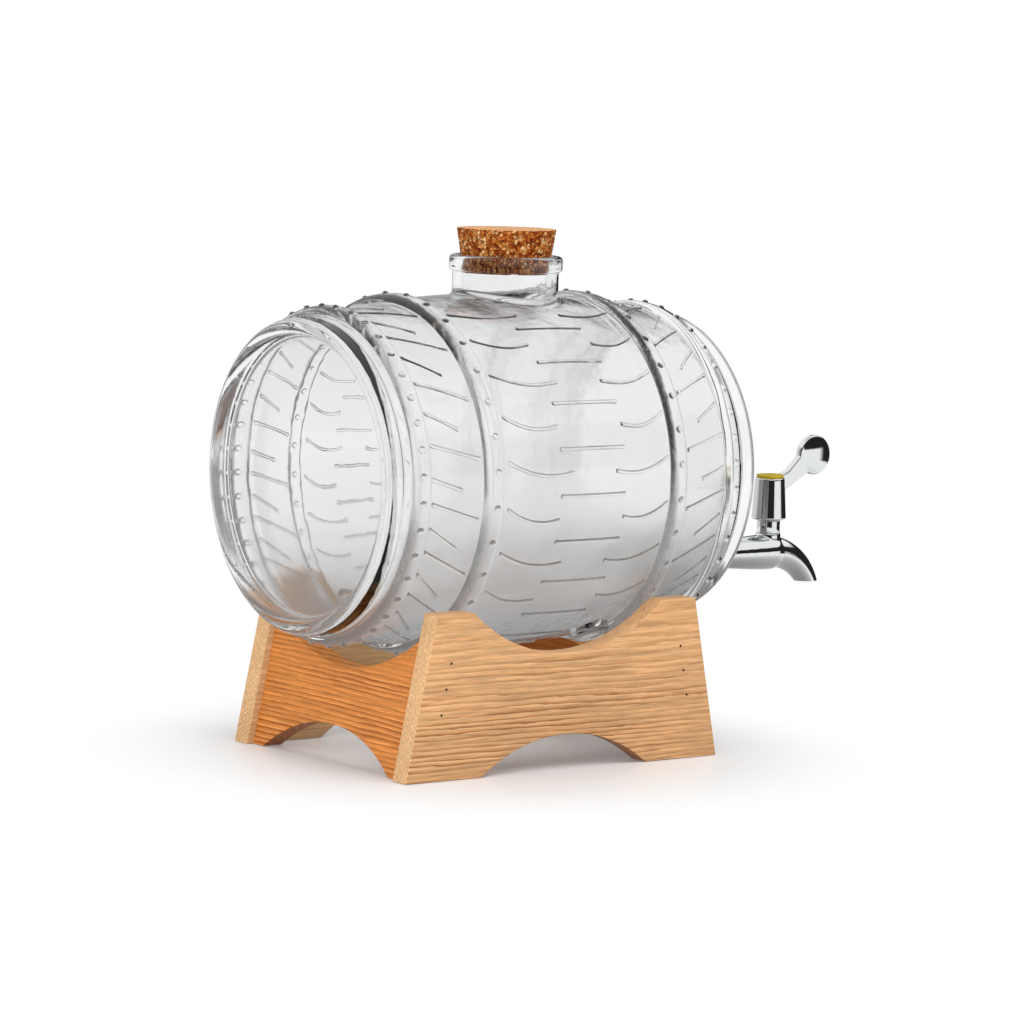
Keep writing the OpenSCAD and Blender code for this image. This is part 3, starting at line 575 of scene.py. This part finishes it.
def endBoard(name, side, material):
    half = s["width"] - s["thick"]
    low = axisZ * 1000 - g["midRadius"] - s["endGap"]
    corner = low + s["endSaddleDrop"]
    lower = arc(s["endArchHalf"], s["endArchRise"], s["arcSteps"])
    upper = [(-y, corner - z) for y, z in arc(half, s["endSaddleDrop"], s["arcSteps"])]
    bm = slab([(-half, 0)] + lower + [(half, 0)] + upper, endThick, s["endEdge"])
    for v in bm.verts:
        y, depth, z = v.co
        v.co = (side * (s["foot"] - lean * z - s["inset"] - depth), y, z)
    node = "end_board_front" if side > 0 else "end_board_rear"
    dress(solid(bm, name), standPlace, "stand", material, (node,), 34)


# The cork: pressed granules, tapered, with open pits.
corkSettings = {"granule": 1.6, "stir": 1.2, "stirFar": 0.8, "speck": 0.7, "specks": (0.82, 1.12),
                "sanded": 0.75, "pit": 2.6, "pitDeep": 0.45, "pitFrom": 0.22, "grit": 1.1,
                "gritDeep": 0.12, "edge": 0.6, "taper": 0.16, "steps": 180, "rings": 30,
                "lidRings": 10}


def corkMaterial():
    # pressed cork: granules of several browns in a dark binder
    c = corkSettings
    material, tree = newMaterial("pressed cork granules")
    coords = objectCoords(tree)
    stir = mottle(tree, coords, c["stir"], 2)
    place = calcVector(tree, "MULTIPLY_ADD", stir["Color"], [c["stirFar"] / 1000] * 3, coords)
    inputs = {"Vector": place, "Scale": perMm(c["granule"])}
    cells = addNode(tree, "ShaderNodeTexVoronoi", inputs, feature="F1")
    seams = addNode(tree, "ShaderNodeTexVoronoi", inputs, feature="DISTANCE_TO_EDGE").outputs["Distance"]
    pick = addNode(tree, "ShaderNodeSeparateColor", {"Color": cells.outputs["Color"]})
    granules = colours(tree, pick.outputs[0], [(0, "#80300a"), (0.25, "#b2541a"), (0.5, "#d98036"),
                                               (0.75, "#efa45c"), (1, "#fccb8c")])
    joined = blend(tree, mapped(tree, seams, 0.02, 0.15, 0.9, 0), granules, linear("#4a1200"))
    speck = mottle(tree, coords, c["speck"], 3)
    tone = mapped(tree, speck["Fac"], 0.3, 0.7, *c["specks"])
    # the sanded top is paler
    normal = addNode(tree, "ShaderNodeNewGeometry").outputs["Normal"]
    top = mapped(tree, split(tree, normal)["Z"], 0.6, 0.95, 0, c["sanded"])
    sanded = blend(tree, top, joined, linear("#edbb8a"))
    shown = addNode(tree, "ShaderNodeHueSaturation", {"Color": sanded, "Value": tone})
    relief = addNode(tree, "ShaderNodeBump", {"Height": seams, "Strength": 0.5, "Distance": 0.0006})
    showShader(tree, addNode(tree, "ShaderNodeBsdfPrincipled",
                             {"Base Color": shown.outputs["Color"], "Roughness": 0.75,
                              "Normal": relief.outputs["Normal"], "Specular IOR Level": 0.12}))
    return material


def buildCork(material):
    c = corkSettings
    low, high = (corkLo.z - axisZ) * 1000, (corkHi.z - axisZ) * 1000
    topRadius = (corkHi.x - corkLo.x) * 500
    lowRadius = topRadius - c["taper"] * (high - low)
    side = [(low + (high - low) * i / c["rings"], lowRadius + (topRadius - lowRadius) * i / c["rings"])
            for i in range(c["rings"] + 1)]
    lid = [(high, topRadius * (1 - i / c["lidRings"])) for i in range(1, c["lidRings"] + 1)]
    bm = turned([(low, 0)] + side + lid, {1: c["edge"], c["rings"] + 1: c["edge"]}, "Z", c["steps"])
    bmesh.ops.recalc_face_normals(bm, faces=bm.faces[:])
    shift = {}
    for v in bm.verts:
        pit = max(0, noise.noise(v.co / c["pit"]) - c["pitFrom"])
        grit = (1 - noise.noise(v.co / c["grit"])) / 2
        shift[v] = v.normal * (-c["pitDeep"] * min(1, 3 * pit) - c["gritDeep"] * grit)
    for v, step in shift.items():
        v.co += step
    bmesh.ops.translate(bm, verts=bm.verts[:], vec=(neckX, 0, 0))
    dress(solid(bm, "corkStopper"), barrelPlace, "cork", material, ("cork_stopper",), 50)


# The tap: a chromed casting with a bent spout, a collar and a lever with a domed paddle.
tapSettings = {"shankEnd": -96, "shank": 8, "flangeX": -76.5, "flangeThick": 4, "flange": 13.5,
               "slim": 7, "bulb": 9, "swell": 38, "bend": 30, "turn": 62, "root": 8.4, "mouth": 5.6,
               "passage": 3.2, "spoutPassage": 3.9, "boss": 6.35, "bossTop": 9.7, "plugHole": 4.25,
               "plugLow": -7.05, "spigotLow": 5.7, "spigot": 5.1, "gland": 5.85, "glandTop": 16.5,
               "stemHole": 3.55, "voxel": 0.42}
leverSettings = {"foot": 16.7, "top": 38, "footRadius": 8.8, "topRadius": 7.5, "reach": 28.5,
                 "rise": 32, "paddle": 10.2, "thick": 4, "rim": 1.2, "dome": 1.2, "armLow": 9.4,
                 "armHigh": 20.4, "armThick": 4, "armEdge": 1.9, "armHalf": 5.2, "dip": 2.4,
                 "capPlug": 3, "capPlugRadius": 5.6, "cap": 6.9, "capThick": 1.6, "drive": 4.9,
                 "driveLong": 8.1, "screw": 1.5, "screwSeat": 32.9, "voxel": 0.3}


def chromeMaterial():
    # bright chrome plate on a polished casting, with a breath of haze
    material, tree = newMaterial("polished chrome plate")
    haze = mottle(tree, objectCoords(tree), 9, 3)
    rough = mapped(tree, haze["Fac"], 0.35, 0.7, 0.03, 0.07)
    showShader(tree, addNode(tree, "ShaderNodeBsdfPrincipled",
                             {"Base Color": linear("#e3e5e6"), "Metallic": 1, "Roughness": rough}))
    return material


def sweep(bm, turnTo, radii, steps, sides):
    # a round bar along the spout's bend, from the bulb to past the mouth
    t = tapSettings
    loops = []
    for i in range(steps + 1):
        share = i / steps
        angle = math.radians(turnTo * share)
        centre = Vector((t["bend"] * math.sin(angle), 0, t["bend"] * (math.cos(angle) - 1)))
        lay = Matrix.Translation(centre) @ Matrix.Rotation(angle + math.pi / 2, 4, "Y")
        radius = radii[0] + (radii[1] - radii[0]) * share
        ring = bmesh.ops.create_circle(bm, cap_ends=i in (0, steps), segments=sides, radius=radius,
                                       matrix=lay)["verts"]
        members = set(ring)
        loops.append([e for e in {e for v in ring for e in v.link_edges} if set(e.verts) <= members])
    for first, second in zip(loops, loops[1:]):
        bmesh.ops.bridge_loops(bm, edges=first + second)
    bmesh.ops.recalc_face_normals(bm, faces=bm.faces[:])


def addTurned(bm, points, rounds, axis, steps, place=(0, 0, 0)):
    # adds a turned shape to a mesh that holds others
    part = turned(points, rounds, axis, steps)
    bmesh.ops.translate(part, verts=part.verts[:], vec=place)
    pour(bm, part)


def bar(low, high, radius, axis, name):
    return solid(turned([(low, 0), (low, radius), (high, radius), (high, 0)], {}, axis, 48), name)


def buildTap(material):
    t = tapSettings
    flangeEnd = t["flangeX"] + t["flangeThick"]
    bm = bmesh.new()
    shares = [i / 16 for i in range(17)]
    gain = t["bulb"] - t["slim"]
    swell = [(-t["swell"] * (1 - share), t["slim"] + gain * (1 - math.cos(math.pi * share)) / 2)
             for share in shares]
    turns = [math.pi * i / 24 for i in range(1, 13)]
    dome = [(t["bulb"] * math.sin(a), t["bulb"] * math.cos(a)) for a in turns]
    addTurned(bm, [(flangeEnd - 2, 0), (flangeEnd - 2, t["slim"])] + swell + dome, {}, "X", 64)
    past, passagePast = 1.25, 12  # the spout and its passage run on past the mouth, which is cut level
    sweep(bm, t["turn"] * past, (t["root"], t["root"] + (t["mouth"] - t["root"]) * past), 24, 40)
    addTurned(bm, [(-2, 0), (-2, t["boss"]), (t["bossTop"], t["boss"]), (t["bossTop"], 0)], {}, "Z", 64)
    body = solid(bm, "tapBody")
    cast(body, t["voxel"], 10)
    collar = turned([(t["shankEnd"], 0), (t["shankEnd"], t["shank"]), (t["flangeX"], t["shank"]),
                     (t["flangeX"], t["flange"]), (flangeEnd, t["flange"]), (flangeEnd, 0)],
                    {1: 0.8, 3: 0.5, 4: 1.4}, "X", 96)
    combine(body, solid(collar, "flange"), "UNION")
    combine(body, bar(t["shankEnd"] - 1, 0, t["passage"], "X", "passage"), "DIFFERENCE")
    bm = bmesh.new()
    sweep(bm, t["turn"] + passagePast, (t["spoutPassage"], t["spoutPassage"]), 24, 32)
    combine(body, solid(bm, "spoutPassage"), "DIFFERENCE")
    combine(body, bar(t["plugLow"], t["bossTop"] + 2, t["plugHole"], "Z", "plugHole"), "DIFFERENCE")
    combine(body, bar(t["spigotLow"], t["bossTop"] + 2, t["spigot"], "Z", "seat"), "DIFFERENCE")
    mouthX, mouthZ, cutter = 26, -t["bend"] * (1 - math.cos(math.radians(t["turn"]))), 40
    bm = bmesh.new()
    bmesh.ops.create_cube(bm, size=cutter, matrix=Matrix.Translation((mouthX, 0, mouthZ - cutter / 2)))
    combine(body, solid(bm, "mouthCut"), "DIFFERENCE")
    dress(body, tapPlace, "barrel", material, ("tap_body",), 38)


def buildGland(material):
    t = tapSettings
    hole, spigot = t["stemHole"], t["spigot"] - 0.05
    low, seat, top = t["spigotLow"], t["bossTop"], t["glandTop"]
    points = [(low, hole), (low, spigot), (seat, spigot), (seat, t["gland"]), (top, t["gland"]),
              (top, hole), (low, hole)]
    collar = solid(turned(points, {3: 0.5, 4: 0.7}, "Z", 64), "glandCollar")
    dress(collar, tapPlace, "barrel", material, ("gland_nut",), 34)


def buildLever(material):
    p = leverSettings
    bm = bmesh.new()
    sleeve = [(p["foot"], 0), (p["foot"], p["footRadius"]), (p["top"], p["topRadius"]), (p["top"], 0)]
    addTurned(bm, sleeve, {1: 0.9, 2: 0.8}, "Z", 64)
    # the paddle: a disc with a domed face on both sides
    faceRadius = p["paddle"] - p["rim"]
    domeRadius = (faceRadius ** 2 + p["dome"] ** 2) / (2 * p["dome"])
    domeLow = p["thick"] / 2 + p["dome"] - domeRadius
    radii = [faceRadius * i / 10 for i in range(11)]
    face = [(domeLow + math.sqrt(domeRadius ** 2 - r ** 2), r) for r in radii]
    rim = [(p["thick"] / 2, p["paddle"])]
    profile = [(-y, r) for y, r in face] + [(-y, r) for y, r in rim] + rim + list(reversed(face))
    paddlePlace = (p["reach"], 0, p["foot"] + p["rise"])
    addTurned(bm, profile, {len(face): 1, len(face) + 1: 1}, "Y", 64, paddlePlace)
    # the arm: from the sleeve to the paddle's edge, with a dip in its upper side
    slope = math.atan2(p["rise"] - (p["armLow"] + p["armHigh"]) / 2, p["reach"])
    join = p["paddle"] - 0.8
    spread = math.asin(p["armHalf"] / join)
    contact = [(p["reach"] + join * math.cos(a), p["foot"] + p["rise"] + join * math.sin(a))
               for a in [slope + math.pi + spread * (1 - i / 4) for i in range(9)]]
    last = contact[-1]
    dip = (last[0] / 2 + p["dip"] * math.sin(slope),
           (p["foot"] + p["armHigh"] + last[1]) / 2 - p["dip"] * math.cos(slope))
    outline = [(0, p["foot"] + p["armLow"])] + contact + [dip, (0, p["foot"] + p["armHigh"])]
    arm = slab(outline, p["armThick"], p["armEdge"])
    bmesh.ops.translate(arm, verts=arm.verts[:], vec=(0, -p["armThick"] / 2, 0))
    pour(bm, arm)
    lever = solid(bm, "leverHandle")
    cast(lever, p["voxel"], 6)
    bm = bmesh.new()
    place = Matrix.Translation((0, 0, p["foot"] + p["driveLong"] / 2 - 1))
    size = Matrix.Diagonal((p["drive"], p["drive"], p["driveLong"] + 2, 1))
    bmesh.ops.create_cube(bm, size=1, matrix=place @ size)
    combine(lever, solid(bm, "drive"), "DIFFERENCE")
    capFit = 0.1
    above = p["top"] + 1
    combine(lever, bar(p["foot"] - 1, above, p["screw"], "Z", "screwHole"), "DIFFERENCE")
    combine(lever, bar(p["screwSeat"], above, p["capPlugRadius"] + capFit, "Z", "capSeat"), "DIFFERENCE")
    combine(lever, bar(p["top"], p["top"] + 20, p["cap"] + capFit, "Z", "capRoom"), "DIFFERENCE")
    dress(lever, tapPlace, "handle", material, ("lever_handle",), 40)


def buildCap(material):
    p = leverSettings
    low, seat, high = p["top"] - p["capPlug"], p["top"], p["top"] + p["capThick"]
    points = [(low, 0), (low, p["capPlugRadius"]), (seat, p["capPlugRadius"]), (seat, p["cap"]),
              (high, p["cap"]), (high + 0.15, 0)]
    cap = solid(turned(points, {3: 0.2, 4: 0.5}, "Z", 64), "indexCap")
    dress(cap, tapPlace, "handle", material, ("index_cap",), 34)


def plain(name, colour, rough, metallic, grain, spread):
    # a small piece's surface: one colour with a slightly uneven sheen
    material, tree = newMaterial(name)
    speck = mottle(tree, objectCoords(tree), grain, 2)
    sheen = mapped(tree, speck["Fac"], 0.3, 0.7, rough - spread, rough + spread)
    showShader(tree, addNode(tree, "ShaderNodeBsdfPrincipled",
                             {"Base Color": linear(colour), "Metallic": metallic, "Roughness": sheen}))
    return material


chrome = chromeMaterial()
buildGlass(glassMaterial())
print("glass built")
rightPine = pine("planed pine, right side", "X", (0, -124, 92), 1.9, sideStops, *rightTones, (0, 1, 0))
leftPine = pine("planed pine, left side", "X", (0, 128, 88), 2, sideStops, *leftTones, (0, -1, 0))
rearPine = pine("planed pine, rear end", "Y", (-170, 0, -60), 2.4, endStops, *endTones, (1, 0, 0))
frontPine = pine("planed pine, front end", "Y", (60, 0, -66), 2.6, endStops, *endTones, (-1, 0, 0))
sideBoard("sideBoardRight", -1, rightPine)
sideBoard("sideBoardLeft", 1, leftPine)
endBoard("endBoardRear", -1, rearPine)
endBoard("endBoardFront", 1, frontPine)
print("stand built")
buildCork(corkMaterial())
buildTap(chrome)
buildGland(chrome)
buildLever(chrome)
buildCap(plain("moulded yellow plastic", "#c8aa0a", 0.35, 0, 3, 0.06))
print("cork and tap built")

# The small pieces that stay as the CAD made them get their materials.
keptNodes = {
    "brad_nails": plain("drawn steel", "#5a4a3c", 0.5, 0.6, 1, 0.1),
    "outer_washer": plain("moulded silicone", "#e6e6e2", 0.55, 0, 2, 0.08),
    "back_nut": plain("moulded white plastic", "#e8e6df", 0.4, 0, 3, 0.06),
    "valve_plug": plain("turned brass", "#c9a24e", 0.3, 1, 2, 0.08),
    "lower_o_ring": plain("moulded black rubber", "#1c1c1c", 0.6, 0, 1, 0.08),
    "handle_screw": plain("bright steel", "#b9babb", 0.3, 1, 1, 0.08)}
keptNodes["inner_washer"] = keptNodes["outer_washer"]
keptNodes["upper_o_ring"] = keptNodes["lower_o_ring"]
for name, material in keptNodes.items():
    mesh = frame["nodes"][name].data
    mesh.materials.clear()
    mesh.materials.append(material)

# The stage: a white floor that keeps the shadow, a white surround, and screens for metal and glass alone.
stageSettings = {"floor": 4, "floorGap": 0.0002, "floorColour": "#e6e6e6", "floorGlow": 0.1,
                 "glassGlow": 0.45, "fadeFrom": 0.08, "fadeTo": 0.2, "greyFrom": 0.2, "greyTo": 0.5,
                 "grey": 0.3, "tableEdge": (0.75, 0.85), "ambient": 0.42, "keyPower": 28,
                 "keySize": 1.6, "fillPower": 28, "fillSize": 2.2}
st = stageSettings
white = (1, 1, 1, 1)
bm = bmesh.new()
bmesh.ops.create_grid(bm, x_segments=1, y_segments=1, size=st["floor"])
bmesh.ops.translate(bm, verts=bm.verts[:], vec=(0, 0, -st["floorGap"]))
floor = solid(bm, "floor")
floorPaint, tree = newMaterial("white studio floor")
path = addNode(tree, "ShaderNodeLightPath").outputs
seen = calc(tree, "MAXIMUM", path["Is Camera Ray"], path["Is Transmission Ray"])
glow = calc(tree, "MULTIPLY", seen, st["floorGlow"])
glow = calc(tree, "MULTIPLY_ADD", path["Is Transmission Ray"], st["glassGlow"], glow)
painted = addNode(tree, "ShaderNodeBsdfPrincipled",
                  {"Base Color": linear(st["floorColour"]), "Roughness": 0.35, "Specular IOR Level": 0.3,
                   "Emission Color": white, "Emission Strength": glow})
away = calcVector(tree, "DISTANCE", objectCoords(tree), standPlace)
fade = mapped(tree, away, st["fadeFrom"], st["fadeTo"], 0, 1, "SMOOTHSTEP")
plainWhite = addNode(tree, "ShaderNodeEmission", {"Color": white, "Strength": 1})
shown = mixShaders(tree, calc(tree, "MULTIPLY", fade, seen), painted, plainWhite)
# metal mirrors a table: grey under the object, white further out, and the dark studio past its edge
grey = mapped(tree, away, st["greyFrom"], st["greyTo"], st["grey"], 1)
table = addNode(tree, "ShaderNodeEmission", {"Color": white, "Strength": grey})
beyond = addNode(tree, "ShaderNodeBsdfTransparent", {"Color": white})
table = mixShaders(tree, mapped(tree, away, *st["tableEdge"]), table, beyond)
showShader(tree, mixShaders(tree, path["Is Glossy Ray"], shown, table))
floor.data.materials.append(floorPaint)


def greys(tree, value, *stops):
    # a ramp of greys
    stops = [(place, (level, level, level, 1)) for place, level in stops]
    return addNode(tree, "ShaderNodeValToRGB", {"Fac": value}, stops=stops).outputs["Color"]


def sky(tree, colour, strength=1):
    return addNode(tree, "ShaderNodeBackground", {"Color": colour, "Strength": strength})


world = bpy.data.worlds.new("white studio")
scene.world = world
world.use_nodes = True
tree = world.node_tree
tree.nodes.clear()
path = addNode(tree, "ShaderNodeLightPath").outputs
direction = addNode(tree, "ShaderNodeTexCoord").outputs["Generated"]
ray = split(tree, direction)
bearing = mapped(tree, calc(tree, "ARCTAN2", ray["Y"], ray["X"]), -math.pi, math.pi)
# what metal mirrors, by bearing: 0 and 1 are towards -X, 0.25 is -Y, 0.5 is +X and 0.75 is +Y
lowScreens = greys(tree, bearing, (0, 0.02), (0.2326, 0.02), (0.252, 1), (0.38, 1), (0.4076, 0.02),
                   (0.6465, 0.02), (0.655, 0.75), (0.8715, 0.75), (0.885, 0.02))
highScreens = greys(tree, bearing, (0, 0.02), (0.64, 0.02), (0.66, 0.75), (0.87, 0.75), (0.885, 0.02))
screens = blend(tree, mapped(tree, ray["Z"], 0.04, 0.08), lowScreens, highScreens)
overhead = greys(tree, ray["Z"], (0, 0), (0.38, 0), (0.46, 1), (0.92, 1), (0.95, 0))
metalLook = sky(tree, blend(tree, overhead, screens, white))
# what shows through the glass: a white wall behind it that darkens to the sides
wallBearing = (0.606, 0.796, 0)
behind = mapped(tree, calcVector(tree, "DOT_PRODUCT", direction, wallBearing), -1, 1)
wall = greys(tree, behind, (0, 0.05), (0.2, 0.08), (0.3, 0.35), (0.48, 0.35), (0.62, 0.55), (0.8, 0.9),
             (0.93, 1))
throughGlass = calc(tree, "GREATER_THAN", path["Transmission Depth"], 0.5)
mirrored = mixShaders(tree, throughGlass, metalLook, sky(tree, wall))
looks = calc(tree, "MAXIMUM", path["Is Glossy Ray"], path["Is Transmission Ray"])
mixed = mixShaders(tree, looks, sky(tree, white, st["ambient"]), mirrored)
mixed = mixShaders(tree, path["Is Camera Ray"], mixed, sky(tree, white))
addNode(tree, "ShaderNodeOutputWorld", {"Surface": mixed.outputs[0]})


def addLamp(name, place, aim, power, size):
    lamp = bpy.data.lights.new(name, "AREA")
    lamp.energy = power
    lamp.size = size
    obj = bpy.data.objects.new(name, lamp)
    scene.collection.objects.link(obj)
    turn = (Vector(aim) - Vector(place)).to_track_quat("-Z", "Y").to_matrix().to_4x4()
    obj.matrix_world = Matrix.Translation(place) @ turn
    obj.visible_camera = False
    obj.visible_glossy = False
    obj.visible_transmission = False


aim = (0, 0, 0.1)
addLamp("keySoftbox", (0.5, -1.1, 1.9), aim, st["keyPower"], st["keySize"])
addLamp("fillSoftbox", (-1.8, -0.6, 0.7), aim, st["fillPower"], st["fillSize"])

# The photo's camera, from the perspective of the stand, in degrees and millimetres.
shotSettings = {"azimuth": 37.29, "pitch": 6.07, "roll": 1.62, "distance": 2122.48, "height": 340.51,
                "aside": 18.57, "lens": 154.12}
azimuth, pitch, roll = (math.radians(shotSettings[key]) for key in ("azimuth", "pitch", "roll"))
ahead = Vector((math.sin(azimuth) * math.cos(pitch), math.cos(azimuth) * math.cos(pitch),
                -math.sin(pitch)))
level = Vector((math.cos(azimuth), -math.sin(azimuth), 0))
upward = level.cross(ahead)
right = level * math.cos(roll) + upward * math.sin(roll)
up = upward * math.cos(roll) - level * math.sin(roll)
viewpoint = Vector((-math.sin(azimuth) * shotSettings["distance"] + shotSettings["aside"],
                    -math.cos(azimuth) * shotSettings["distance"], shotSettings["height"]))
camera = bpy.data.objects.new("camera", bpy.data.cameras.new("camera"))
camera.data.lens = shotSettings["lens"]
camera.data.sensor_width = 36
camera.data.clip_end = 20
scene.collection.objects.link(camera)
turn = Matrix((right, up, -ahead)).transposed().to_4x4()
camera.matrix_world = Matrix.Translation(viewpoint / 1000 + standPlace) @ turn
scene.camera = camera
scene.view_settings.view_transform = "Standard"
